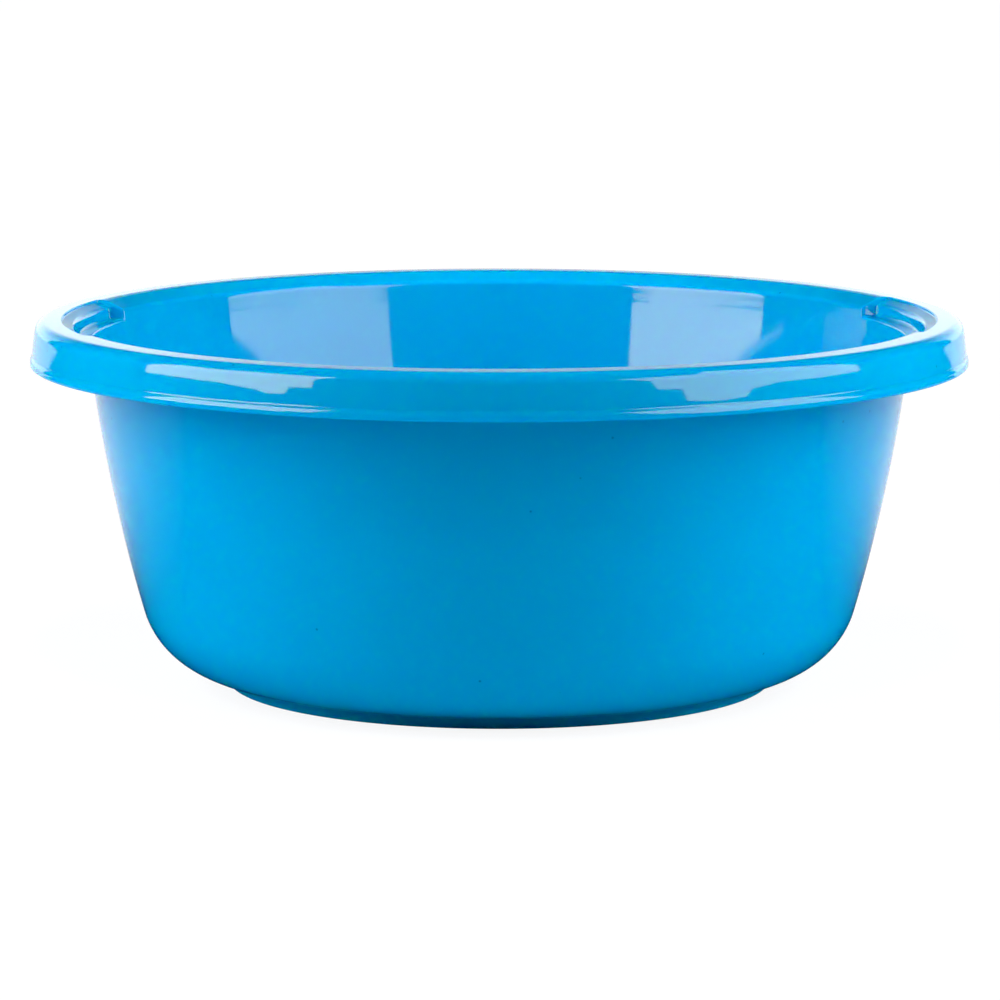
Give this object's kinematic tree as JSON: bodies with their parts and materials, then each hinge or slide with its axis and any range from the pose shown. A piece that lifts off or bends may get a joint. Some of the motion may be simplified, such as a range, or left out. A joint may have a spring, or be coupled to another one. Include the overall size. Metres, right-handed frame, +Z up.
{
  "type": "washing up bowl",
  "caption": "Round moulded washing-up bowl with a flat turned-down rim, recessed hand grips on opposite sides and a foot ring.",
  "frame": {"origin": "centre of the foot ring, on the surface that the bowl stands on", "axes": "+Z up along the bowl's axis, +X and -X towards the two hand recesses"},
  "size_m": [0.36, 0.36, 0.1414],
  "materials": {
    "bowl_plastic": "glossy injection-moulded polypropylene, turquoise blue, slightly translucent"
  },
  "bodies": {
    "root": {"bowl": "bowl_plastic"}
  },
  "joints": []
}
